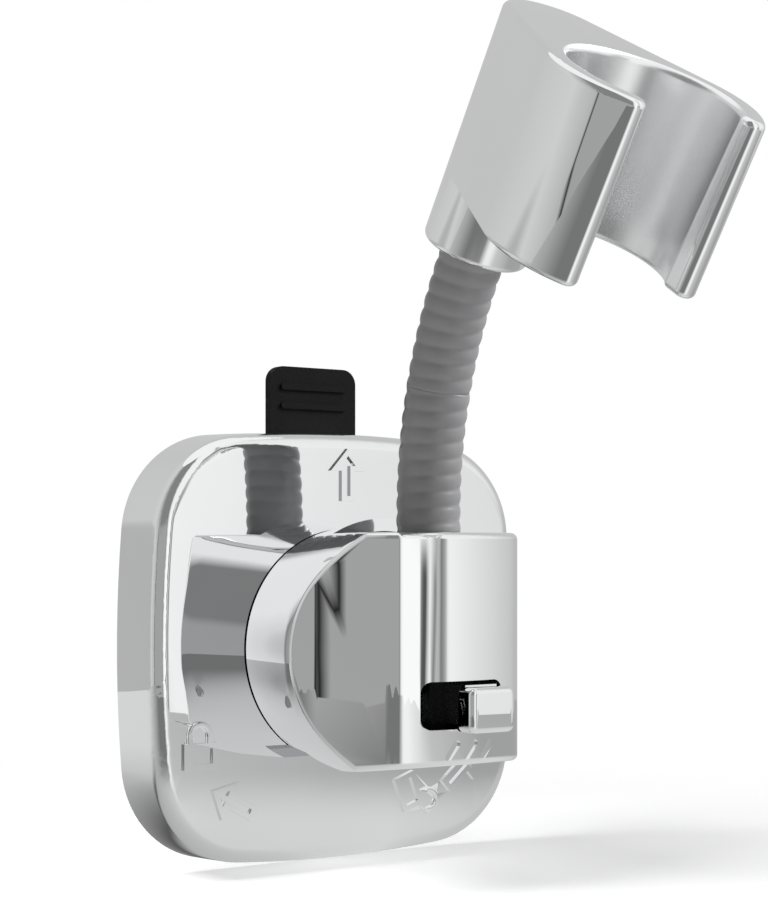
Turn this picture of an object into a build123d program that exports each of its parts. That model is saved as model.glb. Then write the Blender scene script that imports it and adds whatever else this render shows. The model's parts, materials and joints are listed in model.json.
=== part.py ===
import os
from math import cos, radians, sin, tan

from build123d import *

# Suction-mounted hand shower holder, in millimetres.
# The wall is the plane Y = 0, the front is -Y and +Z is up.
# A depth is a distance from the wall towards the front, a reach is one from the cover's face.

# Cover: the chromed dish that hides the suction cup
cover_width = 68.0
cover_height = 67.0
cover_bulge = 2.2
cover_corner = 16.0
cover_back = 0.9
cover_front = 12.0
cover_wall = 1.8
cover_draft = 3.0
cover_edge_round = 2.4
cover_hub_radius = 8.0
cover_hub_depth = 1.6
mark_height = 0.45
mark_root = 0.3
mark_line = 0.8
arrow_length = 8.2
arrow_head_width = 6.4
arrow_head_length = 3.5
arrow_stem_width = 2.4
lock_width = 5.6
lock_height = 3.9
lock_shackle_width = 4.0
lock_shackle_height = 3.2
lock_open_shift = 2.8
top_arrow_place = (0, 26.6)
left_lock_place = (-26.0, -15.6)
left_arrow_place = (-20.4, -22.8)
left_arrow_turn = 61
right_lock_place = (11.6, -23.4)
right_lock_turn = -70
right_arrow_place = (22.0, -20.4)
right_arrow_turn = -49

# Suction cup with its release tab, one rubber moulding
cup_radius = 28.5
cup_rim_thickness = 2.4
cup_middle_thickness = 3.4
cup_middle_radius = 20.0
cup_slope_radius = 22.5
cup_boss_radius = 9.6
cup_boss_front = 8.2
cup_back_wall = 1.4
tab_width = 16.0
tab_top = 44.0
tab_back = 0.8
tab_corner = 2.4
tab_slot_clearance = 0.5
tab_rib_height = 0.35
tab_rib_width = 1.0
tab_rib_length = 12.4
tab_rib_drops = (3.2, 6.2)

# Stud that pulls the cup, and its cross pin
stud_radius = 3.0
stud_head_radius = 6.4
stud_head_thickness = 2.0
stud_travel = 1.6
stud_nose = 2.0
pocket_clearance = 0.25
pin_radius = 1.1
pin_half_length = 9.4
slide_clearance = 0.06
press_clearance = 0.02

# Pressure ring behind the cover, with its screws
ring_web = 1.8
ring_press_width = 4.0
ring_clearance = 0.5
screw_spacing_x = 47.0
screw_spacing_z = 45.6
screw_radius = 1.2
screw_head_radius = 2.3
screw_head_height = 1.4
screw_boss_radius = 3.0
screw_boss_gap = 0.1
screw_bite = 1.6

# Knob: a flared skirt on the cover that becomes the block for the neck
knob_gap = 0.3
knob_base_radius = 18.2
knob_flare_angle = 8.0
knob_wall = 1.9
knob_flat = 17.4
knob_slope_reach = 15.2
knob_slope_angle = 6.5
knob_full_reach = 10.5
knob_front_reach = 31.0
knob_crown = 2.2
knob_half_width = 11.0
knob_side_angle = 35.0
knob_cove_start = 9.5
knob_cove_radius = 11.0
knob_front_round = 4.6
knob_edge_round = 1.0
notch_half_angle = 36.0
notch_reach = 6.0

# Carrier inside the knob, slip washer and cam
washer_inner_radius = 6.0
washer_outer_radius = 15.0
washer_thickness = 0.8
running_gap = 0.1
core_radius = 15.4
core_floor = 1.7
core_collar_reach = 16.0
core_cavity_reach = 13.6
core_half_width = 7.2
core_block_top = 15.2
core_block_bottom = 13.6
core_front_reach = 28.0
core_shelf_bottom = 4.5
core_shelf_top = 12.0
cam_inner_radius = 4.0
cam_outer_radius = 10.2
cam_base = 1.6
cam_angle = 20.0
cam_gap = 0.5
cam_seat_clearance = 0.1
side_pin_radius = 0.9
side_pin_reach = 13.2
side_pin_drop = 7.0
side_pin_length = 8.0
knob_screw_offset = 12.6
knob_screw_end_reach = 19.4
knob_boss_radius = 2.4
knob_boss_end_reach = 20.0

# Gooseneck: steel core, ribbed sleeve and the ferrules at its two ends
neck_reach = 21.7
neck_radius = 4.4
neck_wall = 1.2
neck_rib_bulge = 0.35
neck_straight = 2.4
neck_bend_radius = 68.5
neck_tilt = 33.0
neck_top_sunk = 3.0
neck_core_radius = 2.9
neck_core_bore = 1.9
neck_hole_clearance = 0.35
ferrule_radius = 4.5
ferrule_flange_radius = 6.2
ferrule_flange_height = 1.6
ferrule_bottom = -0.5
nut_across_flats = 11.0
nut_height = 3.2
nut_pocket_radius = 6.7

# Cradle for the hand shower, tilted with the neck's upper end
collar_radius = 7.6
collar_height = 9.5
collar_edge_round = 1.0
cradle_height = 24.5
cradle_reach = 22.4
cradle_outer_radius = 15.0
bore_top_radius = 11.6
bore_bottom_radius = 10.7
gap_width = 16.8
cradle_tip_round = 1.6
cradle_edge_round = 1.0
head_ferrule_height = 12.0
head_pin_radius = 1.0
head_pin_height = 7.0
head_pin_inner = 3.5

# Sliding catch in the front of the block
window_left = -7.4
window_right = 6.9
window_top = -3.7
window_bottom = -10.5
window_corner = 1.7
catch_left = -1.7
catch_width = 8.0
catch_top = -4.5
catch_height = 6.5
catch_proud = 3.2
catch_gap = 0.3
catch_round = 1.2
catch_travel = 4.6
catch_stem_margin = 1.2
slide_reach = 24.7
slide_thickness = 2.0
slide_margin = 1.6
slide_gap = 0.25
leaf_thickness = 0.4
leaf_half_length = 6.0
leaf_height = 4.0
grip_mark_count = 3
grip_mark_pitch = 3.1
grip_mark_length = 3.4
grip_mark_width = 1.1
grip_mark_depth = 0.4
grip_mark_slant = 38.0
grip_mark_below = 3.0

# Places worked out from the sizes above
cover_inside = cover_front - cover_wall
ring_front = cover_inside - cover_hub_depth - ring_clearance
cup_front = cup_rim_thickness
pocket_front = cup_back_wall + stud_travel + stud_head_thickness + 2 * pocket_clearance
stud_head_front = pocket_front - pocket_clearance
core_back_reach = washer_thickness + running_gap
cam_back_reach = core_back_reach + core_floor
cam_ridge_reach = cam_back_reach + cam_base + cam_outer_radius * tan(radians(cam_angle))
pin_reach = cam_ridge_reach + cam_gap + pin_radius
stud_end_reach = pin_reach + pin_radius + stud_nose
side_slope = tan(radians(knob_side_angle))
flange_top = core_shelf_top + ferrule_flange_height
neck_depth = cover_front + neck_reach
neck_tilt_sin = sin(radians(neck_tilt))
neck_tilt_cos = cos(radians(neck_tilt))
neck_end_depth = neck_depth + neck_bend_radius * (1 - neck_tilt_cos)
neck_end_height = knob_flat + neck_straight + neck_bend_radius * neck_tilt_sin
cradle_plane = Plane(
    origin=(0, -neck_end_depth, neck_end_height),
    x_dir=(1, 0, 0),
    z_dir=(0, -neck_tilt_sin, neck_tilt_cos),
)
cradle_axis = Axis(cradle_plane.origin, cradle_plane.z_dir)
cradle_top = collar_height + cradle_height
head_pin_place = cradle_plane.from_local_coords(Vector(0, head_pin_inner, head_pin_height))
head_pin_plane = Plane(origin=head_pin_place, x_dir=(1, 0, 0), z_dir=cradle_plane.y_dir)
slide_front_reach = slide_reach + slide_thickness
slide_left = catch_left - slide_margin
slide_width = catch_width + 2 * slide_margin
catch_middle_x = catch_left + catch_width / 2
catch_middle_z = catch_top - catch_height / 2
window_middle_x = (window_left + window_right) / 2
window_middle_z = (window_top + window_bottom) / 2
screw_places = GridLocations(screw_spacing_x, screw_spacing_z, 2, 2)


def depth_plane(depth):
    """Sketch plane at a depth from the wall, seen from the front."""
    return Plane.XZ.offset(depth)


def reach_plane(reach):
    """Sketch plane at a distance in front of the cover's face."""
    return Plane.XZ.offset(cover_front + reach)


def draft_inset(depth):
    """How far the drafted rim has drawn in at a depth."""
    return (depth - cover_back) * tan(radians(cover_draft))


def cover_outline(inset):
    """Rounded square with slightly bulging sides."""
    half_x = cover_width / 2 - inset
    half_z = cover_height / 2 - inset
    corner_x = half_x - cover_bulge
    corner_z = half_z - cover_bulge
    with BuildSketch(Plane.XY, mode=Mode.PRIVATE) as outline:
        with BuildLine():
            ThreePointArc((-corner_x, corner_z), (0, half_z), (corner_x, corner_z))
            ThreePointArc((corner_x, corner_z), (half_x, 0), (corner_x, -corner_z))
            ThreePointArc((corner_x, -corner_z), (0, -half_z), (-corner_x, -corner_z))
            ThreePointArc((-corner_x, -corner_z), (-half_x, 0), (-corner_x, corner_z))
        make_face()
        fillet(outline.vertices(), radius=cover_corner - inset)
    return outline.sketch


def arrow_mark():
    """Outline of an arrow that points to +Y of the sketch."""
    shoulder = arrow_length / 2 - arrow_head_length
    with BuildSketch(Plane.XY, mode=Mode.PRIVATE) as mark:
        with BuildLine():
            Polyline(
                (0, arrow_length / 2),
                (arrow_head_width / 2, shoulder),
                (arrow_stem_width / 2, shoulder),
                (arrow_stem_width / 2, -arrow_length / 2),
                (-arrow_stem_width / 2, -arrow_length / 2),
                (-arrow_stem_width / 2, shoulder),
                (-arrow_head_width / 2, shoulder),
                close=True,
            )
        make_face()
        offset(amount=-mark_line, kind=Kind.INTERSECTION, mode=Mode.SUBTRACT)
    return mark.sketch


def lock_mark(shackle_shift):
    """Outline of a padlock; the shackle stands over the body or is swung to one side."""
    with BuildSketch(Plane.XY, mode=Mode.PRIVATE) as mark:
        Rectangle(lock_width, lock_height)
        Rectangle(lock_width - 2 * mark_line, lock_height - 2 * mark_line, mode=Mode.SUBTRACT)
        shackle_radius = lock_shackle_width / 2
        arc_height = lock_height / 2 + lock_shackle_height - shackle_radius
        with Locations((shackle_shift, arc_height)):
            Circle(shackle_radius)
        with Locations((shackle_shift, (lock_height / 2 + arc_height) / 2)):
            Rectangle(lock_shackle_width, arc_height - lock_height / 2)
        with Locations((shackle_shift, arc_height)):
            Circle(shackle_radius - mark_line, mode=Mode.SUBTRACT)
        with Locations((shackle_shift, (lock_height / 2 + arc_height) / 2)):
            Rectangle(
                lock_shackle_width - 2 * mark_line,
                arc_height - lock_height / 2,
                mode=Mode.SUBTRACT,
            )
    return mark.sketch


def knob_plan(inset):
    """Plan of the knob in the XY plane: coved sides that narrow to a crowned front."""
    corner_y = -(cover_front + knob_front_reach - knob_crown)
    cove_y = corner_y + knob_cove_start
    cove_x = knob_half_width + knob_cove_start * side_slope
    centre_x = cove_x + knob_cove_radius * cos(radians(knob_side_angle))
    centre_y = cove_y - knob_cove_radius * sin(radians(knob_side_angle))
    middle_angle = radians((90 - knob_side_angle) / 2)
    middle_x = centre_x - knob_cove_radius * sin(middle_angle)
    middle_y = centre_y + knob_cove_radius * cos(middle_angle)
    end_y = centre_y + knob_cove_radius
    with BuildSketch(Plane.XY, mode=Mode.PRIVATE) as plan:
        with BuildLine():
            ThreePointArc(
                (-knob_half_width, corner_y),
                (0, -(cover_front + knob_front_reach)),
                (knob_half_width, corner_y),
            )
            Line((knob_half_width, corner_y), (cove_x, cove_y))
            ThreePointArc((cove_x, cove_y), (middle_x, middle_y), (centre_x, end_y))
            Line((centre_x, end_y), (centre_x, 0))
            Line((centre_x, 0), (-centre_x, 0))
            Line((-centre_x, 0), (-centre_x, end_y))
            ThreePointArc((-centre_x, end_y), (-middle_x, middle_y), (-cove_x, cove_y))
            Line((-cove_x, cove_y), (-knob_half_width, corner_y))
        make_face()
        fillet(plan.vertices().sort_by(Axis.Y)[0:2], radius=knob_front_round)
        if inset > 0:
            offset(amount=-inset, mode=Mode.REPLACE)
    return plan.sketch


def knob_form(inset, back_reach):
    """Flared round skirt cut to the plan, with a flat top and a bottom that slopes up to the front."""
    flat = knob_flat - inset
    with BuildPart(mode=Mode.PRIVATE) as form:
        with BuildSketch(reach_plane(back_reach)):
            Circle(knob_base_radius - inset + back_reach * tan(radians(knob_flare_angle)))
        extrude(amount=knob_front_reach + 2 - back_reach, taper=-knob_flare_angle)
        with BuildSketch(Plane.XY.offset(-2 * knob_base_radius)):
            add(knob_plan(inset))
        extrude(amount=4 * knob_base_radius, mode=Mode.INTERSECT)
        with BuildSketch(reach_plane(knob_full_reach + inset)):
            with Locations((0, flat + knob_base_radius)):
                Rectangle(4 * knob_base_radius, 2 * knob_base_radius)
        extrude(amount=knob_front_reach, mode=Mode.SUBTRACT)
        with BuildSketch(Plane.YZ.offset(-2 * knob_base_radius)):
            slope_y = -(cover_front + knob_slope_reach)
            slope_run = 2 * knob_front_reach
            slope_rise = slope_run * tan(radians(knob_slope_angle))
            with BuildLine():
                Polyline(
                    (0, -flat),
                    (slope_y, -flat),
                    (slope_y - slope_run, slope_rise - flat),
                    (slope_y - slope_run, -3 * knob_base_radius),
                    (0, -3 * knob_base_radius),
                    close=True,
                )
            make_face()
        extrude(amount=4 * knob_base_radius, mode=Mode.SUBTRACT)
    return form.part


os.makedirs("parts", exist_ok=True)

# Cover, with its hub, screw bosses, raised marks and the slot for the release tab
with BuildPart() as cover:
    with BuildSketch(depth_plane(cover_back)):
        add(cover_outline(0))
    with BuildSketch(depth_plane(cover_front)):
        add(cover_outline(draft_inset(cover_front)))
    loft()
    fillet(cover.faces().sort_by(Axis.Y)[0].edges(), radius=cover_edge_round)
    with BuildSketch(depth_plane(cover_back)):
        add(cover_outline(cover_wall))
    with BuildSketch(depth_plane(cover_inside)):
        add(cover_outline(cover_wall + draft_inset(cover_inside)))
    loft(mode=Mode.SUBTRACT)
    with BuildSketch(depth_plane(cover_inside - cover_hub_depth)):
        Circle(cover_hub_radius)
    extrude(amount=cover_hub_depth)
    with BuildSketch(depth_plane(ring_front)):
        with screw_places:
            Circle(screw_boss_radius)
    extrude(amount=cover_inside - ring_front)
    with BuildSketch(depth_plane(ring_front)):
        with screw_places:
            Circle(screw_radius)
    extrude(amount=screw_bite, mode=Mode.SUBTRACT)
    with BuildSketch(depth_plane(cover_back)):
        Circle(stud_radius + slide_clearance)
    extrude(amount=cover_front, mode=Mode.SUBTRACT)
    with BuildSketch(depth_plane(cover_back)):
        with Locations((0, cover_height / 2)):
            Rectangle(tab_width + 2 * tab_slot_clearance, 6 * cover_wall)
    extrude(amount=cup_front + tab_rib_height + tab_slot_clearance - cover_back, mode=Mode.SUBTRACT)
    with BuildSketch(depth_plane(cover_front - mark_root)):
        with Locations(top_arrow_place):
            add(arrow_mark())
        with Locations(left_lock_place):
            add(lock_mark(0))
        with Locations(Location(left_arrow_place, left_arrow_turn)):
            add(arrow_mark())
        with Locations(Location(right_lock_place, right_lock_turn)):
            add(lock_mark(lock_open_shift))
        with Locations(Location(right_arrow_place, right_arrow_turn)):
            add(arrow_mark())
    extrude(amount=mark_root + mark_height)
cover.part.label = "cover"
export_step(cover.part, "parts/cover.step")

# Suction cup: disc, boss with the pocket for the stud's head, and the release tab
with BuildPart() as suction_cup:
    with BuildSketch(Plane.XY):
        with BuildLine():
            Polyline(
                (0, 0),
                (cup_radius, 0),
                (cup_radius, -cup_rim_thickness),
                (cup_slope_radius, -cup_rim_thickness),
                (cup_middle_radius, -cup_middle_thickness),
                (cup_boss_radius, -cup_middle_thickness),
                (cup_boss_radius, -cup_boss_front),
                (0, -cup_boss_front),
                close=True,
            )
        make_face()
    revolve(axis=Axis.Y)
    with BuildSketch(depth_plane(cup_back_wall)):
        Circle(stud_head_radius + pocket_clearance)
    extrude(amount=pocket_front - cup_back_wall, mode=Mode.SUBTRACT)
    with BuildSketch(depth_plane(pocket_front)):
        Circle(stud_radius + pocket_clearance)
    extrude(amount=cup_boss_front, mode=Mode.SUBTRACT)
    with BuildSketch(depth_plane(tab_back)) as tab_outline:
        tab_bottom = cup_radius - 3 * cup_rim_thickness
        with Locations((0, (tab_top + tab_bottom) / 2)):
            Rectangle(tab_width, tab_top - tab_bottom)
        fillet(tab_outline.vertices().group_by(Axis.Z)[-1], radius=tab_corner)
    extrude(amount=cup_front - tab_back)
    with BuildSketch(depth_plane(cup_front)):
        for drop in tab_rib_drops:
            with Locations((0, tab_top - drop)):
                SlotOverall(tab_rib_length, tab_rib_width)
    extrude(amount=tab_rib_height)
suction_cup.part.label = "suction_cup"
export_step(suction_cup.part, "parts/suction_cup.step")

# Stud, with its head in the cup and a cross hole for the pin
with BuildPart() as cup_stud:
    with BuildSketch(depth_plane(stud_head_front - stud_head_thickness)):
        Circle(stud_head_radius)
    extrude(amount=stud_head_thickness)
    with BuildSketch(depth_plane(stud_head_front)):
        Circle(stud_radius)
    extrude(amount=cover_front + stud_end_reach - stud_head_front)
    chamfer(cup_stud.faces().sort_by(Axis.Y)[0].edges(), length=0.6)
    with BuildSketch(Plane.YZ.offset(-2 * stud_radius)):
        with Locations((-(cover_front + pin_reach), 0)):
            Circle(pin_radius + press_clearance)
    extrude(amount=4 * stud_radius, mode=Mode.SUBTRACT)
cup_stud.part.label = "cup_stud"
export_step(cup_stud.part, "parts/cup_stud.step")

with BuildPart() as cross_pin:
    with BuildSketch(Plane.YZ.offset(-pin_half_length)):
        with Locations((-(cover_front + pin_reach), 0)):
            Circle(pin_radius)
    extrude(amount=2 * pin_half_length)
    chamfer(cross_pin.edges().filter_by(GeomType.CIRCLE), length=0.3)
cross_pin.part.label = "cross_pin"
export_step(cross_pin.part, "parts/cross_pin.step")

# Pressure ring: a web behind the cover and the ring that bears on the cup's rim
with BuildPart() as pressure_ring:
    with BuildSketch(depth_plane(ring_front - ring_web)):
        add(cover_outline(cover_wall + 2 * ring_clearance))
        Circle(cup_boss_radius + ring_clearance, mode=Mode.SUBTRACT)
        with screw_places:
            Circle(screw_radius + ring_clearance / 2, mode=Mode.SUBTRACT)
    extrude(amount=ring_web)
    with BuildSketch(depth_plane(cup_front)):
        Circle(cup_radius - ring_clearance)
        Circle(cup_radius - ring_clearance - ring_press_width, mode=Mode.SUBTRACT)
    extrude(amount=ring_front - ring_web - cup_front)
pressure_ring.part.label = "pressure_ring"
export_step(pressure_ring.part, "parts/pressure_ring.step")

with BuildPart() as cover_screws:
    with BuildSketch(depth_plane(ring_front - ring_web - screw_head_height)):
        with screw_places:
            Circle(screw_head_radius)
    extrude(amount=screw_head_height)
    with BuildSketch(depth_plane(ring_front - ring_web)):
        with screw_places:
            Circle(screw_radius - press_clearance)
    extrude(amount=ring_web + screw_bite - screw_boss_gap)
cover_screws.part.label = "cover_screws"
export_step(cover_screws.part, "parts/cover_screws.step")

# Slip washer between the cover and the turning knob
with BuildPart() as slip_washer:
    with BuildSketch(depth_plane(cover_front)):
        Circle(washer_outer_radius)
        Circle(washer_inner_radius, mode=Mode.SUBTRACT)
    extrude(amount=washer_thickness)
slip_washer.part.label = "slip_washer"
export_step(slip_washer.part, "parts/slip_washer.step")

# Knob housing: hollow flared skirt and block, one chromed moulding
with BuildPart() as knob_housing:
    add(knob_form(0, knob_gap))
    front_edges = (
        knob_housing.edges()
        .filter_by(lambda edge: edge.center().Y < -(cover_front + knob_full_reach + 1))
        .filter_by(Axis.Z, reverse=True)
    )
    fillet(front_edges, radius=knob_edge_round)
    add(knob_form(knob_wall, 0), mode=Mode.SUBTRACT)
    # Side bosses for the screws that hold the carrier
    with BuildSketch(reach_plane(core_collar_reach)):
        for side in (-1, 1):
            with Locations((side * (knob_screw_offset + knob_boss_radius), 0)):
                Rectangle(4 * knob_boss_radius, 2 * knob_boss_radius)
    extrude(amount=knob_boss_end_reach - core_collar_reach)
    add(knob_form(0, knob_gap), mode=Mode.INTERSECT)
    with BuildSketch(reach_plane(core_collar_reach)):
        with GridLocations(2 * knob_screw_offset, 1, 2, 1):
            Circle(screw_radius)
    extrude(amount=knob_screw_end_reach + screw_boss_gap - core_collar_reach, mode=Mode.SUBTRACT)
    # Notch under the skirt, window for the catch and hole for the gooseneck
    with BuildSketch(reach_plane(0)):
        notch_x = 2 * knob_base_radius * tan(radians(notch_half_angle))
        with BuildLine():
            Polyline(
                (0, 0),
                (notch_x, -2 * knob_base_radius),
                (-notch_x, -2 * knob_base_radius),
                close=True,
            )
        make_face()
        Circle(core_radius, mode=Mode.SUBTRACT)
    extrude(amount=notch_reach, mode=Mode.SUBTRACT)
    with BuildSketch(reach_plane(slide_front_reach)):
        with Locations((window_middle_x, window_middle_z)):
            RectangleRounded(window_right - window_left, window_top - window_bottom, window_corner)
    extrude(amount=knob_front_reach, mode=Mode.SUBTRACT)
    with BuildSketch(Plane.XY.offset(knob_flat - 2 * knob_wall)):
        with Locations((0, -neck_depth)):
            Circle(neck_radius + neck_rib_bulge + neck_hole_clearance)
    extrude(amount=3 * knob_wall, mode=Mode.SUBTRACT)
    # Slanted grip marks below the window
    with BuildSketch(reach_plane(knob_front_reach - grip_mark_depth)):
        for number in range(grip_mark_count):
            mark_x = catch_middle_x + (number - grip_mark_count / 2) * grip_mark_pitch
            mark_z = window_bottom - grip_mark_below
            with Locations(Location((mark_x, mark_z), 90 - grip_mark_slant)):
                SlotOverall(grip_mark_length, grip_mark_width)
    extrude(amount=knob_crown, mode=Mode.SUBTRACT)
    with BuildSketch(Plane.YZ.offset(-2 * knob_base_radius)):
        with Locations((-(cover_front + side_pin_reach), -side_pin_drop)):
            Circle(side_pin_radius + press_clearance)
    extrude(amount=2 * knob_base_radius - core_radius / 2, mode=Mode.SUBTRACT)
knob_housing.part.label = "knob_housing"
export_step(knob_housing.part, "parts/knob_housing.step")

# Carrier: collar round the cam, and the block that holds the gooseneck and the catch
with BuildPart() as knob_core:
    with BuildSketch(reach_plane(core_back_reach)):
        Circle(core_radius)
    extrude(amount=core_collar_reach - core_back_reach)
    with BuildSketch(reach_plane(core_collar_reach)):
        with Locations((0, (core_block_top - core_block_bottom) / 2)):
            Rectangle(2 * core_half_width, core_block_top + core_block_bottom)
    extrude(amount=core_front_reach - core_collar_reach)
    with BuildSketch(reach_plane(cam_back_reach)):
        Circle(cam_outer_radius + cam_seat_clearance)
    extrude(amount=core_cavity_reach - cam_back_reach, mode=Mode.SUBTRACT)
    with BuildSketch(reach_plane(0)):
        Circle(stud_radius + pocket_clearance)
    extrude(amount=core_cavity_reach, mode=Mode.SUBTRACT)
    # Shelf that the ferrule's flange and nut clamp
    with BuildSketch(Plane.XY.offset(core_shelf_bottom)):
        with Locations((0, -neck_depth)):
            Circle(ferrule_radius + press_clearance)
    extrude(amount=core_block_top, mode=Mode.SUBTRACT)
    with BuildSketch(Plane.XY.offset(core_shelf_top)):
        with Locations((0, -neck_depth)):
            Circle(ferrule_flange_radius + neck_hole_clearance)
    extrude(amount=core_block_top, mode=Mode.SUBTRACT)
    nut_pocket_bottom = ferrule_bottom - neck_hole_clearance
    with BuildSketch(Plane.XY.offset(nut_pocket_bottom)):
        with Locations((0, -neck_depth)):
            Circle(nut_pocket_radius)
    extrude(amount=core_shelf_bottom - nut_pocket_bottom, mode=Mode.SUBTRACT)
    # Room for the slide and its leaf spring
    with BuildSketch(reach_plane(slide_reach - slide_gap - leaf_thickness)):
        with Locations((0, catch_middle_z)):
            Rectangle(4 * core_half_width, catch_height + 2 * slide_margin + 2 * slide_gap)
    extrude(amount=core_front_reach, mode=Mode.SUBTRACT)
    with BuildSketch(reach_plane(core_back_reach)):
        with GridLocations(2 * knob_screw_offset, 1, 2, 1):
            Circle(screw_radius)
    extrude(amount=core_collar_reach, mode=Mode.SUBTRACT)
    with BuildSketch(reach_plane(core_back_reach)):
        with GridLocations(2 * knob_screw_offset, 1, 2, 1):
            Circle(screw_head_radius + press_clearance)
    extrude(amount=screw_head_height + running_gap, mode=Mode.SUBTRACT)
    with BuildSketch(Plane.YZ.offset(-2 * knob_base_radius)):
        with Locations((-(cover_front + side_pin_reach), -side_pin_drop)):
            Circle(side_pin_radius + press_clearance)
    extrude(amount=2 * knob_base_radius - core_radius / 2, mode=Mode.SUBTRACT)
knob_core.part.label = "knob_core"
export_step(knob_core.part, "parts/knob_core.step")

with BuildPart() as knob_screws:
    with BuildSketch(reach_plane(core_back_reach + running_gap)):
        with GridLocations(2 * knob_screw_offset, 1, 2, 1):
            Circle(screw_head_radius - press_clearance)
    extrude(amount=screw_head_height)
    with BuildSketch(reach_plane(core_back_reach + running_gap + screw_head_height)):
        with GridLocations(2 * knob_screw_offset, 1, 2, 1):
            Circle(screw_radius - press_clearance)
    extrude(amount=knob_screw_end_reach - core_back_reach - running_gap - screw_head_height)
knob_screws.part.label = "knob_screws"
export_step(knob_screws.part, "parts/knob_screws.step")

# Cam ring with a roof-shaped face whose ridge carries the cross pin when locked
with BuildPart() as cam_ring:
    with BuildSketch(reach_plane(cam_back_reach)):
        Circle(cam_outer_radius)
        Circle(cam_inner_radius, mode=Mode.SUBTRACT)
    extrude(amount=cam_ridge_reach - cam_back_reach)
    roof_drop = 2 * cam_outer_radius * tan(radians(cam_angle))
    for side in (-1, 1):
        with BuildSketch(Plane.YZ.offset(-2 * cam_outer_radius)):
            ridge_y = -(cover_front + cam_ridge_reach)
            with BuildLine():
                Polyline(
                    (ridge_y, 0),
                    (ridge_y + roof_drop, side * 2 * cam_outer_radius),
                    (ridge_y - 1, side * 2 * cam_outer_radius),
                    (ridge_y - 1, 0),
                    close=True,
                )
            make_face()
        extrude(amount=4 * cam_outer_radius, mode=Mode.SUBTRACT)
cam_ring.part.label = "cam_ring"
export_step(cam_ring.part, "parts/cam_ring.step")

# Pin through the skirt that keeps the housing from turning on its carrier
with BuildPart() as side_pin:
    pin_end_x = knob_base_radius + side_pin_reach * tan(radians(knob_flare_angle))
    pin_end_x = -((pin_end_x**2 - side_pin_drop**2) ** 0.5)
    with BuildSketch(Plane.YZ.offset(pin_end_x)):
        with Locations((-(cover_front + side_pin_reach), -side_pin_drop)):
            Circle(side_pin_radius)
    extrude(amount=side_pin_length)
side_pin.part.label = "side_pin"
export_step(side_pin.part, "parts/side_pin.step")

# Lower ferrule with its nut
with BuildPart() as neck_ferrule:
    with BuildSketch(Plane.XY.offset(ferrule_bottom)):
        with Locations((0, -neck_depth)):
            Circle(ferrule_radius)
    extrude(amount=core_shelf_top - ferrule_bottom)
    with BuildSketch(Plane.XY.offset(core_shelf_top)):
        with Locations((0, -neck_depth)):
            Circle(ferrule_flange_radius)
    extrude(amount=ferrule_flange_height)
    with BuildSketch(Plane.XY.offset(ferrule_bottom)):
        with Locations((0, -neck_depth)):
            Circle(neck_core_radius + press_clearance)
    extrude(amount=flange_top - ferrule_bottom, mode=Mode.SUBTRACT)
neck_ferrule.part.label = "neck_ferrule"
export_step(neck_ferrule.part, "parts/neck_ferrule.step")

with BuildPart() as neck_nut:
    with BuildSketch(Plane.XY.offset(core_shelf_bottom - nut_height)):
        with Locations((0, -neck_depth)):
            RegularPolygon(nut_across_flats / 2, 6, major_radius=False)
            Circle(ferrule_radius + press_clearance, mode=Mode.SUBTRACT)
    extrude(amount=nut_height)
neck_nut.part.label = "neck_nut"
export_step(neck_nut.part, "parts/neck_nut.step")


def neck_path(bottom, sunk):
    """Centre line of the gooseneck: straight up, a forward bend and a straight end."""
    straight_end = (0, -neck_depth, knob_flat + neck_straight)
    half_tilt = radians(neck_tilt / 2)
    middle_y = -neck_depth - neck_bend_radius * (1 - cos(half_tilt))
    middle_z = straight_end[2] + neck_bend_radius * sin(half_tilt)
    bend_end = (0, -neck_end_depth, neck_end_height)
    last_y = -neck_end_depth - sunk * neck_tilt_sin
    last_z = neck_end_height + sunk * neck_tilt_cos
    with BuildLine(mode=Mode.PRIVATE) as path:
        Line((0, -neck_depth, bottom), straight_end)
        ThreePointArc(straight_end, (0, middle_y, middle_z), bend_end)
        Line(bend_end, (0, last_y, last_z))
    return path.line


# Gooseneck: the steel core and the sleeve over it
with BuildPart() as neck_core:
    with BuildLine():
        add(neck_path(ferrule_bottom, head_ferrule_height + neck_top_sunk))
    with BuildSketch(Plane.XY.offset(ferrule_bottom)):
        with Locations((0, -neck_depth)):
            Circle(neck_core_radius)
            Circle(neck_core_bore, mode=Mode.SUBTRACT)
    sweep()
neck_core.part.label = "neck_core"
export_step(neck_core.part, "parts/neck_core.step")

with BuildPart() as neck_sleeve:
    with BuildLine():
        add(neck_path(flange_top, neck_top_sunk))
    with BuildSketch(Plane.XY.offset(flange_top)):
        with Locations((0, -neck_depth)):
            Circle(neck_radius)
            Circle(neck_radius - neck_wall, mode=Mode.SUBTRACT)
    sweep()
neck_sleeve.part.label = "neck_sleeve"
export_step(neck_sleeve.part, "parts/neck_sleeve.step")

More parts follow.
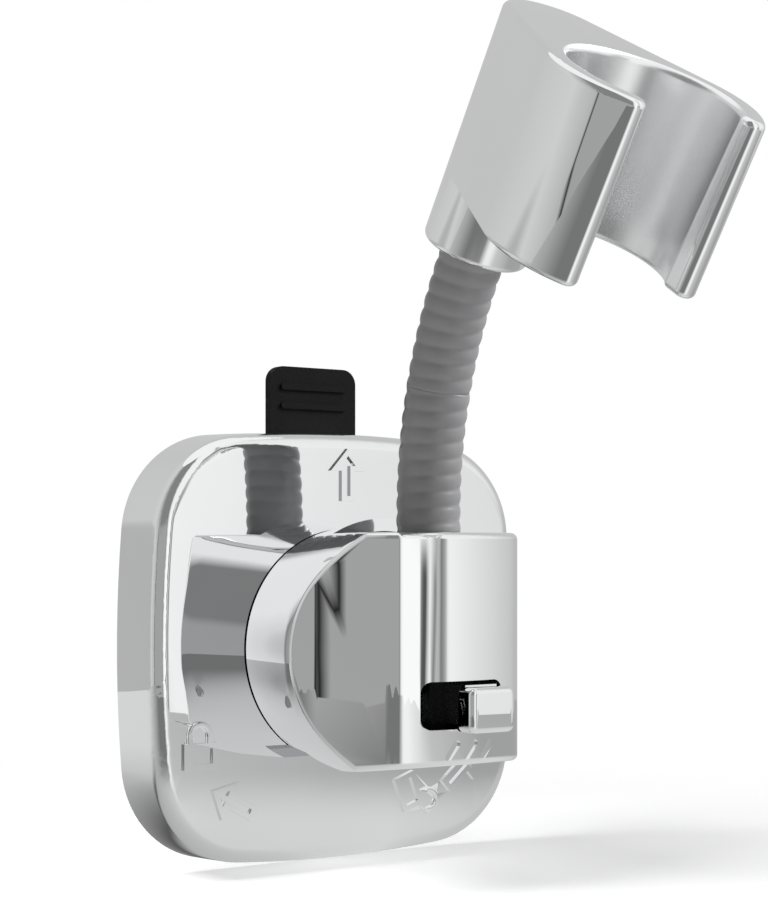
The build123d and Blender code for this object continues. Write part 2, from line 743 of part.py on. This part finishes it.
# Cradle: collar, cheeks and the open ring that holds the hand shower
with BuildPart() as cradle:
    with BuildSketch(cradle_plane.offset(collar_height)) as cradle_plan:
        Circle(collar_radius)
        with Locations((0, -cradle_reach)):
            Circle(cradle_outer_radius)
        make_hull()
        with Locations((0, -cradle_reach - cradle_outer_radius)):
            Rectangle(gap_width, 2 * cradle_outer_radius, mode=Mode.SUBTRACT)
        fillet(cradle_plan.vertices().sort_by(Axis.Y)[0:2], radius=cradle_tip_round)
    extrude(amount=cradle_height)
    end_faces = cradle.faces().sort_by(cradle_axis)
    fillet(end_faces[0].edges() + end_faces[-1].edges(), radius=cradle_edge_round)
    with BuildSketch(cradle_plane.offset(collar_height)):
        with Locations((0, -cradle_reach)):
            Circle(bore_bottom_radius)
    with BuildSketch(cradle_plane.offset(cradle_top)):
        with Locations((0, -cradle_reach)):
            Circle(bore_top_radius)
    loft(mode=Mode.SUBTRACT)
    fillet(cradle.edges().filter_by(GeomType.HYPERBOLA), radius=cradle_edge_round)
    with BuildSketch(cradle_plane):
        Circle(collar_radius)
    extrude(amount=collar_height + 2 * cradle_edge_round)
    fillet(cradle.faces().sort_by(cradle_axis)[0].edges(), radius=collar_edge_round)
    # Bore for the sleeve and the ferrule
    with BuildSketch(cradle_plane):
        Circle(neck_radius + neck_rib_bulge + slide_clearance)
    extrude(amount=neck_top_sunk + press_clearance, mode=Mode.SUBTRACT)
    with BuildSketch(cradle_plane):
        Circle(ferrule_radius + press_clearance)
    extrude(amount=neck_top_sunk + head_ferrule_height + neck_hole_clearance, mode=Mode.SUBTRACT)
    with BuildSketch(head_pin_plane):
        Circle(head_pin_radius + press_clearance)
    extrude(amount=2 * collar_radius, mode=Mode.SUBTRACT)
cradle.part.label = "cradle"
export_step(cradle.part, "parts/cradle.step")

with BuildPart() as head_ferrule:
    with BuildSketch(cradle_plane.offset(neck_top_sunk + press_clearance)):
        Circle(ferrule_radius)
        Circle(neck_core_radius + press_clearance, mode=Mode.SUBTRACT)
    extrude(amount=head_ferrule_height)
    with BuildSketch(head_pin_plane):
        Circle(head_pin_radius + press_clearance)
    extrude(amount=2 * collar_radius, mode=Mode.SUBTRACT)
head_ferrule.part.label = "head_ferrule"
export_step(head_ferrule.part, "parts/head_ferrule.step")

# Pin through the back of the collar into the ferrule
with BuildPart() as cradle_pin:
    with BuildSketch(head_pin_plane):
        Circle(head_pin_radius)
    extrude(amount=collar_radius - head_pin_inner - collar_edge_round / 2)
cradle_pin.part.label = "cradle_pin"
export_step(cradle_pin.part, "parts/cradle_pin.step")

# Catch: a chromed button on a slide behind the window, with a leaf spring
with BuildPart() as catch_button:
    with BuildSketch(reach_plane(knob_front_reach + catch_gap)):
        with Locations((catch_middle_x, catch_middle_z)):
            RectangleRounded(catch_width, catch_height, catch_round)
    extrude(amount=catch_proud)
    fillet(catch_button.faces().sort_by(Axis.Y)[0].edges(), radius=catch_round * 0.8)
    stem_height = window_top - window_bottom - catch_stem_margin
    with BuildSketch(reach_plane(slide_reach)):
        with Locations((catch_middle_x, window_middle_z)):
            Rectangle(catch_width - 2 * catch_stem_margin, stem_height)
    extrude(amount=knob_front_reach + catch_gap - slide_reach)
catch_button.part.label = "catch_button"
export_step(catch_button.part, "parts/catch_button.step")

with BuildPart() as catch_slide:
    with BuildSketch(reach_plane(slide_reach)):
        with Locations((catch_middle_x, catch_middle_z)):
            Rectangle(slide_width, catch_height + 2 * slide_margin)
        with Locations((catch_middle_x, window_middle_z)):
            Rectangle(catch_width - 2 * catch_stem_margin, stem_height, mode=Mode.SUBTRACT)
    extrude(amount=slide_thickness)
catch_slide.part.label = "catch_slide"
export_step(catch_slide.part, "parts/catch_slide.step")

with BuildPart() as leaf_spring:
    with BuildSketch(reach_plane(slide_reach - slide_gap - leaf_thickness)):
        with Locations((0, catch_middle_z)):
            Rectangle(2 * leaf_half_length, leaf_height)
    extrude(amount=leaf_thickness)
leaf_spring.part.label = "leaf_spring"
export_step(leaf_spring.part, "parts/leaf_spring.step")
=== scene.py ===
import json
import math

import bmesh
import bpy
from mathutils import Matrix, Vector


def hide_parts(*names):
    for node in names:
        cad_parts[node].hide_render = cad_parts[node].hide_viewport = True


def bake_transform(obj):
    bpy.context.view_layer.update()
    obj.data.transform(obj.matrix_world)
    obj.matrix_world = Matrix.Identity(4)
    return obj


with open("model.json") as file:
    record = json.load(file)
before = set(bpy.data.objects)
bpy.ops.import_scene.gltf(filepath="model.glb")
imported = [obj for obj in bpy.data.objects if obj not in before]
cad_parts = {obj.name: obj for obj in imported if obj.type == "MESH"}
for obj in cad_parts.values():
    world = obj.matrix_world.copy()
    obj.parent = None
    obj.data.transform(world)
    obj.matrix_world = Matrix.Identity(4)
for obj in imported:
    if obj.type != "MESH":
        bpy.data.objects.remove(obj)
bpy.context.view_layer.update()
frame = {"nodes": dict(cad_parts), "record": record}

# Hand shower holder on a suction cup, in metres: the wall is y = 0, the front is -y and z is up
mm = 0.001


# Objects
def addObject(name, data):
    thing = bpy.data.objects.new(name, data)
    bpy.context.scene.collection.objects.link(thing)
    return thing


def finishMesh(name, mesh):
    data = bpy.data.meshes.new(name)
    mesh.to_mesh(data)
    mesh.free()
    return addObject(name, data)


def shadeSmooth(data):
    data.polygons.foreach_set("use_smooth", [True] * len(data.polygons))


# Shader helpers
colorA, colorB, colorResult = 6, 7, 2  # sockets of a Mix node that mixes colours


def newNode(tree, kind, place, **values):
    node = tree.nodes.new(kind)
    node.location = place
    for name, value in values.items():
        setattr(node, name, value)
    return node


def newMaterial(name):
    material = bpy.data.materials.new(name)
    material.use_nodes = True
    material.node_tree.nodes.clear()
    return material


def addOutput(tree, shader):
    output = newNode(tree, "ShaderNodeOutputMaterial", (900, 0))
    tree.links.new(shader.outputs[0], output.inputs["Surface"])


# Goes from 0 to 1 while the length of a vector passes through a range
def lengthFade(tree, place, vector, change):
    x, y = place
    distance = newNode(tree, "ShaderNodeVectorMath", (x, y), operation="LENGTH")
    fade = newNode(tree, "ShaderNodeMapRange", (x + 200, y), interpolation_type="SMOOTHSTEP")
    fade.inputs["From Min"].default_value, fade.inputs["From Max"].default_value = change
    tree.links.new(vector, distance.inputs[0])
    tree.links.new(distance.outputs["Value"], fade.inputs["Value"])
    return fade


# Shared effect: a fine uneven height, and the same noise spread from a low to a high value
fineNoise = {
    "spread": (0.3, 0.7), "roughDetail": 4, "reliefDetail": 2, "tintDetail": 3,
    "tintScale": 0.4,  # of the scale of the roughness
}


def makeFineSurface():
    group = bpy.data.node_groups.new("fineSurface", "ShaderNodeTree")
    face = group.interface
    for name, value in (("Scale", 400), ("Detail", 3), ("Low", 0), ("High", 1)):
        socket = face.new_socket(name, in_out="INPUT", socket_type="NodeSocketFloat")
        socket.default_value = value
    for name in ("Value", "Height"):
        face.new_socket(name, in_out="OUTPUT", socket_type="NodeSocketFloat")
    inside = newNode(group, "NodeGroupInput", (-600, 0))
    outside = newNode(group, "NodeGroupOutput", (500, 0))
    coordinates = newNode(group, "ShaderNodeTexCoord", (-600, 250))
    noise = newNode(group, "ShaderNodeTexNoise", (-300, 100))
    spread = newNode(group, "ShaderNodeMapRange", (200, 100))
    spread.inputs["From Min"].default_value = fineNoise["spread"][0]
    spread.inputs["From Max"].default_value = fineNoise["spread"][1]
    group.links.new(coordinates.outputs["Object"], noise.inputs["Vector"])
    group.links.new(inside.outputs["Scale"], noise.inputs["Scale"])
    group.links.new(inside.outputs["Detail"], noise.inputs["Detail"])
    group.links.new(noise.outputs["Fac"], spread.inputs["Value"])
    group.links.new(inside.outputs["Low"], spread.inputs["To Min"])
    group.links.new(inside.outputs["High"], spread.inputs["To Max"])
    group.links.new(spread.outputs["Result"], outside.inputs["Value"])
    group.links.new(noise.outputs["Fac"], outside.inputs["Height"])
    return group


fineSurface = makeFineSurface()


def placeFineSurface(tree, place, scale, detail, low=0, high=1):
    node = newNode(tree, "ShaderNodeGroup", place, node_tree=fineSurface)
    node.inputs["Scale"].default_value = scale
    node.inputs["Detail"].default_value = detail
    node.inputs["Low"].default_value = low
    node.inputs["High"].default_value = high
    return node


# Finishes: colour, metal or not, roughness from low to high and its scale, scale and height of the
# fine relief, how dark the colour gets in places, and the strength of a plain surface's reflection
finishes = {
    "chrome": {
        "color": (0.88, 0.885, 0.89), "metallic": 1.0, "rough": (0.006, 0.022), "roughScale": 90,
        "reliefScale": 55, "reliefHeight": 0.00002, "tint": 0.97, "shine": 0.5,
    },
    "black_rubber": {
        "color": (0.004, 0.004, 0.0045), "metallic": 0.0, "rough": (0.45, 0.6), "roughScale": 500,
        "reliefScale": 2600, "reliefHeight": 0.00003, "tint": 0.7, "shine": 0.08,
    },
    "grey_pvc": {
        "color": (0.23, 0.23, 0.235), "metallic": 0.0, "rough": (0.3, 0.42), "roughScale": 300,
        "reliefScale": 1500, "reliefHeight": 0.00002, "tint": 0.9, "shine": 0.4,
    },
    "black_plastic": {
        "color": (0.008, 0.008, 0.009), "metallic": 0.0, "rough": (0.4, 0.55), "roughScale": 600,
        "reliefScale": 2500, "reliefHeight": 0.00002, "tint": 0.8, "shine": 0.12,
    },
    "white_plastic": {
        "color": (0.72, 0.72, 0.7), "metallic": 0.0, "rough": (0.35, 0.5), "roughScale": 600,
        "reliefScale": 2000, "reliefHeight": 0.00001, "tint": 0.96, "shine": 0.5,
    },
    "steel": {
        "color": (0.62, 0.63, 0.64), "metallic": 1.0, "rough": (0.2, 0.34), "roughScale": 900,
        "reliefScale": 1200, "reliefHeight": 0.00002, "tint": 0.92, "shine": 0.5,
    },
    "brass": {
        "color": (0.72, 0.52, 0.24), "metallic": 1.0, "rough": (0.22, 0.36), "roughScale": 900,
        "reliefScale": 1200, "reliefHeight": 0.00002, "tint": 0.9, "shine": 0.5,
    },
}


# Roughness in a bore: the value within the radius round the bore's axis, and none outside
def addSatinBore(tree, bore):
    coordinates = newNode(tree, "ShaderNodeTexCoord", (-900, -700))
    offset = newNode(tree, "ShaderNodeVectorMath", (-700, -700), operation="SUBTRACT")
    offset.inputs[1].default_value = bore["through"]
    across = newNode(tree, "ShaderNodeVectorMath", (-500, -700), operation="CROSS_PRODUCT")
    across.inputs[1].default_value = bore["along"]
    tree.links.new(coordinates.outputs["Object"], offset.inputs[0])
    tree.links.new(offset.outputs[0], across.inputs[0])
    inside = lengthFade(tree, (-300, -700), across.outputs[0], bore["radius"])
    inside.inputs["To Min"].default_value = bore["rough"]
    inside.inputs["To Max"].default_value = 0
    return inside


def makeFinish(name, values, bore=None):
    material = newMaterial(name)
    tree = material.node_tree
    shader = newNode(tree, "ShaderNodeBsdfPrincipled", (600, 0))
    shader.inputs["Metallic"].default_value = values["metallic"]
    shader.inputs["Specular IOR Level"].default_value = values["shine"]

    uneven = placeFineSurface(
        tree, (100, -150), values["roughScale"], fineNoise["roughDetail"], *values["rough"],
    )
    rough = uneven.outputs["Value"]
    if bore is not None:
        rougher = newNode(tree, "ShaderNodeMath", (350, -150), operation="MAXIMUM")
        tree.links.new(rough, rougher.inputs[0])
        tree.links.new(addSatinBore(tree, bore).outputs["Result"], rougher.inputs[1])
        rough = rougher.outputs[0]
    tree.links.new(rough, shader.inputs["Roughness"])

    relief = placeFineSurface(
        tree, (100, -400), values["reliefScale"], fineNoise["reliefDetail"],
    )
    bump = newNode(tree, "ShaderNodeBump", (350, -400))
    bump.inputs["Strength"].default_value = 1
    bump.inputs["Distance"].default_value = values["reliefHeight"]
    tree.links.new(relief.outputs["Height"], bump.inputs["Height"])
    tree.links.new(bump.outputs["Normal"], shader.inputs["Normal"])

    tintScale = values["roughScale"] * fineNoise["tintScale"]
    shade = placeFineSurface(tree, (-150, 200), tintScale, fineNoise["tintDetail"])
    mix = newNode(tree, "ShaderNodeMix", (350, 200), data_type="RGBA")
    color = values["color"]
    mix.inputs[colorA].default_value = (*(part * values["tint"] for part in color), 1)
    mix.inputs[colorB].default_value = (*color, 1)
    tree.links.new(shade.outputs["Value"], mix.inputs["Factor"])
    tree.links.new(mix.outputs[colorResult], shader.inputs["Base Color"])
    addOutput(tree, shader)
    return material


# The cradle's bore is less polished than the rest of the chrome
cradleBore = {
    "through": (0, -63.537 * mm, 44.908 * mm), "along": (0, -0.544639, 0.838671),
    "radius": (12.0 * mm, 12.6 * mm), "rough": 0.27,
}
materials = {name: makeFinish(name, values) for name, values in finishes.items()}
cradleChrome = makeFinish("cradleChrome", finishes["chrome"], cradleBore)
slotOf = {entry["node"]: entry["material_slot"] for entry in frame["record"]["subparts"]}
for name, node in frame["nodes"].items():
    node.data.materials.clear()
    node.data.materials.append(cradleChrome if name == "cradle" else materials[slotOf[name]])
print("finishes done")

# CAD pieces get joined corners and smooth curves, and edges sharper than sharpAngle stay sharp.
# The cover's edges and raised marks are rounded as well, and its large faces kept flat
smoothing = {
    "mergeDistance": 0.002 * mm, "sharpAngle": 24,
    "roundWidth": 0.2 * mm, "roundSegments": 2, "roundAngle": 50, "flatWeight": 80,
}
for name, node in frame["nodes"].items():
    shadeSmooth(node.data)
    weld = node.modifiers.new("joinCorners", "WELD")
    weld.merge_threshold = smoothing["mergeDistance"]
    if name == "cover":
        rounding = node.modifiers.new("roundEdges", "BEVEL")
        rounding.width = smoothing["roundWidth"]
        rounding.segments = smoothing["roundSegments"]
        rounding.limit_method = "ANGLE"
        rounding.angle_limit = math.radians(smoothing["roundAngle"])
    split = node.modifiers.new("sharpEdges", "EDGE_SPLIT")
    split.split_angle = math.radians(smoothing["sharpAngle"])
    split.use_edge_sharp = False
    if name == "cover":
        flat = node.modifiers.new("flatFaces", "WEIGHTED_NORMAL")
        flat.weight = smoothing["flatWeight"]
print("smoothing done")

# Gooseneck: its centre line lies in the plane x = 0 and goes straight up, then bends forwards,
# then goes on straight. Heights are along that line, and each tube is split in two at one height
neck = {
    "depth": 33.7 * mm, "straightTop": 19.8 * mm, "bendRadius": 68.5 * mm, "tilt": math.radians(33),
    "flangeTop": 13.6 * mm, "coreBottom": -0.5 * mm, "sleeveSunk": 3 * mm, "coreSunk": 15 * mm,
    "sleeveRadius": 4.4 * mm, "sleeveWall": 1.2 * mm,
    "ribPitch": 2.43 * mm, "ribBulge": 0.3 * mm, "ribPower": 0.6, "ribSteps": 8,
    "coreRadius": 2.9 * mm, "coreBore": 1.9 * mm, "coreStep": 1.5 * mm,
    "split": 38.5 * mm, "segments": 40,
    "lowerBend": (18.5 * mm, 37.5 * mm), "upperBendStart": 39.5 * mm,
}
bendEnd = neck["straightTop"] + neck["bendRadius"] * neck["tilt"]


# Point on the neck's centre line at a height along it, and the lean of the line there
def neckFrame(height):
    y = -neck["depth"]
    if height <= neck["straightTop"]:
        return Vector((0, y, height)), 0.0
    lean = min((height - neck["straightTop"]) / neck["bendRadius"], neck["tilt"])
    y -= neck["bendRadius"] * (1 - math.cos(lean))
    z = neck["straightTop"] + neck["bendRadius"] * math.sin(lean)
    rest = max(height - bendEnd, 0)
    return Vector((0, y - rest * math.sin(lean), z + rest * math.cos(lean))), lean


# Tube along the centre line; a bulge above zero winds round it as a rib
def neckTube(name, low, high, outer, inner, step, bulge):
    count = max(2, round((high - low) / step))
    mesh = bmesh.new()
    circle = bmesh.ops.create_circle(mesh, segments=neck["segments"], radius=1)["verts"]
    edges = mesh.edges[:]
    rings = [circle]
    for number in range(count):
        grown = bmesh.ops.extrude_edge_only(mesh, edges=edges)["geom"]
        edges = [item for item in grown if isinstance(item, bmesh.types.BMEdge)]
        rings.append([item for item in grown if isinstance(item, bmesh.types.BMVert)])
    for number, ring in enumerate(rings):
        height = low + (high - low) * number / count
        centre, lean = neckFrame(height)
        for vert in ring:
            angle = math.atan2(vert.co.y, vert.co.x)
            turn = height / neck["ribPitch"] - angle / (2 * math.pi)
            crest = abs(math.sin(math.pi * turn)) ** neck["ribPower"]
            radius = outer + bulge * crest
            vert.co = Vector((math.cos(angle) * radius, math.sin(angle) * radius, 0))
        tilted = Matrix.Rotation(lean, 3, "X")
        bmesh.ops.rotate(mesh, verts=ring, cent=(0, 0, 0), matrix=tilted)
        bmesh.ops.translate(mesh, verts=ring, vec=centre)
    bmesh.ops.recalc_face_normals(mesh, faces=mesh.faces[:])
    piece = finishMesh(name, mesh)
    shadeSmooth(piece.data)
    wall = piece.modifiers.new("wall", "SOLIDIFY")
    wall.thickness = outer - inner
    wall.offset = -1
    return piece


sleeveInner = neck["sleeveRadius"] - neck["sleeveWall"]
sleeveStep = neck["ribPitch"] / neck["ribSteps"]
sleeves = (
    ("sleeveLower", neck["flangeTop"], neck["split"]),
    ("sleeveUpper", neck["split"], bendEnd + neck["sleeveSunk"]),
)
cores = (
    ("coreLower", neck["coreBottom"], neck["split"]),
    ("coreUpper", neck["split"], bendEnd + neck["coreSunk"]),
)
neckPieces = []
for name, low, high in sleeves:
    piece = neckTube(
        name, low, high, neck["sleeveRadius"], sleeveInner, sleeveStep, neck["ribBulge"],
    )
    piece.data.materials.append(materials["grey_pvc"])
    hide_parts("neck_sleeve")
    neckPieces.append(piece)
for name, low, high in cores:
    piece = neckTube(name, low, high, neck["coreRadius"], neck["coreBore"], neck["coreStep"], 0)
    piece.data.materials.append(materials["steel"])
    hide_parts("neck_core")
    neckPieces.append(piece)

lowerStart, lowerEnd = (neckFrame(height)[0] for height in neck["lowerBend"])
upperStart, upperEnd = neckFrame(neck["upperBendStart"])[0], neckFrame(bendEnd)[0]
for piece in neckPieces:
    if piece.name.endswith("Lower"):
        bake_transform(piece)
    else:
        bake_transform(piece)
print("gooseneck done")

# Studio: a pale floor that turns white with the distance, and a round wall and a disc just above
# the floor that only reflections see. Each fade runs between two distances from the origin
studio = {
    "floorDrop": -34.6 * mm, "floorRadius": 1.6, "floorSegments": 96, "floorFade": (0.06, 0.15),
    "floorColor": (0.93, 0.93, 0.935), "floorLift": 0.45,
    "wallRadius": 0.3, "wallTop": 0.6, "wallSegments": 120, "wallFade": (0.3025, 0.309),
    "discLift": 0.2 * mm, "discFade": (0.06, 0.15), "mergeDistance": 0.01 * mm,
    "worldLight": 0.17,
}
# The lamp above on the right leaves out the floor, and the floor has its own lamp on the left,
# which throws the shadow to the right
lamps = {
    "keyLamp": {
        "place": (0.55, -0.34, 0.5), "target": (0, -0.02, 0.01), "power": 8.0,
        "size": (0.35, 0.35), "floorState": "EXCLUDE",
    },
    "floorLamp": {
        "place": (-0.42, 0.02, 0.42), "target": (0, -0.03, 0), "power": 2.8,
        "size": (0.3, 0.3), "floorState": "INCLUDE",
    },
}
# What the chrome mirrors: pairs of an angle in degrees from the back, anticlockwise from above,
# and a grey. The walls are grey, with a dark screen on the left, a white softbox beside the camera
# and narrow black strips
reflectedGreys = {
    "wallLow": (
        (0, 0.5), (72, 0.5), (80, 0.7), (98, 0.55), (103.6, 0.5), (104.6, 0.02), (105.6, 0.02),
        (106.4, 0.4), (157, 0.4), (159, 0.25), (162, 0.9), (168, 1.1), (182, 1.1), (183, 0.1),
        (186, 0.1), (188, 1.1), (192, 0.05), (193, 0.8), (195, 0.2), (198, 0.4), (200, 1.0),
        (217, 0.85), (258, 0.55), (360, 0.5),
    ),
    "wallHigh": (
        (0, 0.6), (80, 0.7), (100, 0.5), (116, 0.25), (156, 0.25), (164, 1.0), (188, 1.0),
        (192, 0.4), (198, 1.0), (232, 0.9), (262, 0.6), (360, 0.6),
    ),
    "discNear": (
        (0, 0.5), (55, 0.5), (84, 0.1), (92, 0.45), (160, 0.7), (215, 0.75), (240, 0.6),
        (360, 0.5),
    ),
    "discFar": (
        (0, 0.6), (36, 0.75), (64, 0.7), (105, 0.4), (125, 0.2), (158, 0.2), (169, 1.0),
        (176, 1.0), (188, 0.6), (222, 0.4), (245, 0.4), (360, 0.5),
    ),
}


def flatDisc(radius, segments, height):
    mesh = bmesh.new()
    bmesh.ops.create_circle(mesh, cap_ends=True, segments=segments, radius=radius)
    bmesh.ops.translate(mesh, verts=mesh.verts[:], vec=(0, 0, height))
    return mesh


def makeFloor():
    mesh = flatDisc(studio["floorRadius"], studio["floorSegments"], studio["floorDrop"])
    floor = finishMesh("floor", mesh)
    material = newMaterial("floorPaint")
    tree = material.node_tree
    diffuse = newNode(tree, "ShaderNodeBsdfDiffuse", (0, 0))
    diffuse.inputs["Color"].default_value = (*studio["floorColor"], 1)
    lift = newNode(tree, "ShaderNodeEmission", (0, 150))
    lift.inputs["Strength"].default_value = studio["floorLift"]
    paint = newNode(tree, "ShaderNodeAddShader", (150, 100))
    tree.links.new(diffuse.outputs[0], paint.inputs[0])
    tree.links.new(lift.outputs[0], paint.inputs[1])
    white = newNode(tree, "ShaderNodeEmission", (0, -150))
    coordinates = newNode(tree, "ShaderNodeTexCoord", (-800, 200))
    level = newNode(tree, "ShaderNodeVectorMath", (-600, 200), operation="MULTIPLY")
    level.inputs[1].default_value = (1, 1, 0)
    tree.links.new(coordinates.outputs["Object"], level.inputs[0])
    fade = lengthFade(tree, (-400, 200), level.outputs[0], studio["floorFade"])
    mix = newNode(tree, "ShaderNodeMixShader", (300, 0))
    tree.links.new(fade.outputs["Result"], mix.inputs["Fac"])
    tree.links.new(paint.outputs[0], mix.inputs[1])
    tree.links.new(white.outputs[0], mix.inputs[2])
    addOutput(tree, mix)
    floor.data.materials.append(material)


def angleRamp(tree, place, around, greys):
    ramp = newNode(tree, "ShaderNodeValToRGB", place)
    elements = ramp.color_ramp.elements
    elements.remove(elements[1])
    for angle, grey in greys:
        element = elements[0] if angle == 0 else elements.new(angle / 360)
        element.color = (grey, grey, grey, 1)
    tree.links.new(around.outputs["Color"], ramp.inputs["Fac"])
    return ramp


# A surface that only reflections see, with greys by the angle that change at a distance
def addReflector(name, mesh, nearGreys, farGreys, change):
    reflector = finishMesh(name, mesh)
    material = newMaterial(name + "Paint")
    tree = material.node_tree
    coordinates = newNode(tree, "ShaderNodeTexCoord", (-900, 0))
    turned = newNode(tree, "ShaderNodeMapping", (-700, 0))
    turned.inputs["Rotation"].default_value = (0, 0, math.radians(90))
    around = newNode(tree, "ShaderNodeTexGradient", (-500, 0), gradient_type="RADIAL")
    tree.links.new(coordinates.outputs["Object"], turned.inputs["Vector"])
    tree.links.new(turned.outputs["Vector"], around.inputs["Vector"])
    near = angleRamp(tree, (-300, 100), around, nearGreys)
    far = angleRamp(tree, (-300, -200), around, farGreys)
    fade = lengthFade(tree, (-700, 400), coordinates.outputs["Object"], change)
    mix = newNode(tree, "ShaderNodeMix", (50, 0), data_type="RGBA")
    tree.links.new(fade.outputs["Result"], mix.inputs["Factor"])
    tree.links.new(near.outputs["Color"], mix.inputs[colorA])
    tree.links.new(far.outputs["Color"], mix.inputs[colorB])
    glow = newNode(tree, "ShaderNodeEmission", (300, 0))
    tree.links.new(mix.outputs[colorResult], glow.inputs["Color"])
    addOutput(tree, glow)
    reflector.data.materials.append(material)
    reflector.visible_camera = False
    reflector.visible_diffuse = False
    reflector.visible_shadow = False


def makeReflectors():
    wall = bmesh.new()
    low = wall.verts.new((0, studio["wallRadius"], studio["floorDrop"]))
    high = wall.verts.new((0, studio["wallRadius"], studio["wallTop"]))
    upright = wall.edges.new((low, high))
    bmesh.ops.spin(
        wall, geom=[low, high, upright], cent=(0, 0, 0), axis=(0, 0, 1), dvec=(0, 0, 0),
        angle=math.radians(360), steps=studio["wallSegments"], use_merge=True,
    )
    bmesh.ops.remove_doubles(wall, verts=wall.verts[:], dist=studio["mergeDistance"])
    lowGreys, highGreys = reflectedGreys["wallLow"], reflectedGreys["wallHigh"]
    addReflector("reflectionWall", wall, lowGreys, highGreys, studio["wallFade"])

    discHeight = studio["floorDrop"] + studio["discLift"]
    disc = flatDisc(studio["wallRadius"], studio["wallSegments"], discHeight)
    nearGreys, farGreys = reflectedGreys["discNear"], reflectedGreys["discFar"]
    addReflector("reflectionFloor", disc, nearGreys, farGreys, studio["discFade"])


# White where the camera, a mirror or clear material sees it, and a weak light for the rest
def makeWorld():
    world = bpy.data.worlds.new("studioWorld")
    world.use_nodes = True
    tree = world.node_tree
    tree.nodes.clear()
    path = newNode(tree, "ShaderNodeLightPath", (-600, 200))
    seen = newNode(tree, "ShaderNodeMath", (-400, 200), operation="MAXIMUM")
    shown = newNode(tree, "ShaderNodeMath", (-200, 200), operation="MAXIMUM")
    tree.links.new(path.outputs["Is Camera Ray"], seen.inputs[0])
    tree.links.new(path.outputs["Is Glossy Ray"], seen.inputs[1])
    tree.links.new(seen.outputs[0], shown.inputs[0])
    tree.links.new(path.outputs["Is Transmission Ray"], shown.inputs[1])
    light = newNode(tree, "ShaderNodeBackground", (0, 0))
    light.inputs["Strength"].default_value = studio["worldLight"]
    white = newNode(tree, "ShaderNodeBackground", (0, -150))
    for shader in (light, white):
        shader.inputs["Color"].default_value = (1, 1, 1, 1)
    mix = newNode(tree, "ShaderNodeMixShader", (250, 0))
    tree.links.new(shown.outputs[0], mix.inputs["Fac"])
    tree.links.new(light.outputs[0], mix.inputs[1])
    tree.links.new(white.outputs[0], mix.inputs[2])
    output = newNode(tree, "ShaderNodeOutputWorld", (500, 0))
    tree.links.new(mix.outputs[0], output.inputs["Surface"])
    bpy.context.scene.world = world


def makeLamp(name, values):
    data = bpy.data.lights.new(name, "AREA")
    data.energy = values["power"]
    data.shape = "RECTANGLE"
    data.size, data.size_y = values["size"]
    lamp = addObject(name, data)
    lamp.location = values["place"]
    aim = Vector(values["target"]) - Vector(values["place"])
    lamp.rotation_euler = aim.to_track_quat("-Z", "Y").to_euler()
    receivers = bpy.data.collections.new(name + "Floor")
    receivers.objects.link(bpy.data.objects["floor"])
    receivers.collection_objects[0].light_linking.link_state = values["floorState"]
    lamp.light_linking.receiver_collection = receivers


makeFloor()
makeReflectors()
makeWorld()
for name, values in lamps.items():
    makeLamp(name, values)
print("studio done")

# Camera: level, to the left of the front and turned to the right, with the picture shifted upwards
view = {
    "place": (-161.2 * mm, -256.8 * mm, 14.5 * mm), "yaw": 34.5, "lens": 74.7, "sensor": 36,
    "shift": (0, 0.1087), "clipStart": 0.005,
}
cameraData = bpy.data.cameras.new("camera")
cameraData.lens = view["lens"]
cameraData.sensor_width = view["sensor"]
cameraData.shift_x, cameraData.shift_y = view["shift"]
cameraData.clip_start = view["clipStart"]
camera = addObject("camera", cameraData)
camera.location = view["place"]
camera.rotation_euler = (math.radians(90), 0, math.radians(-view["yaw"]))
bpy.context.scene.camera = camera
bpy.context.scene.view_settings.view_transform = "Standard"
print("camera done")
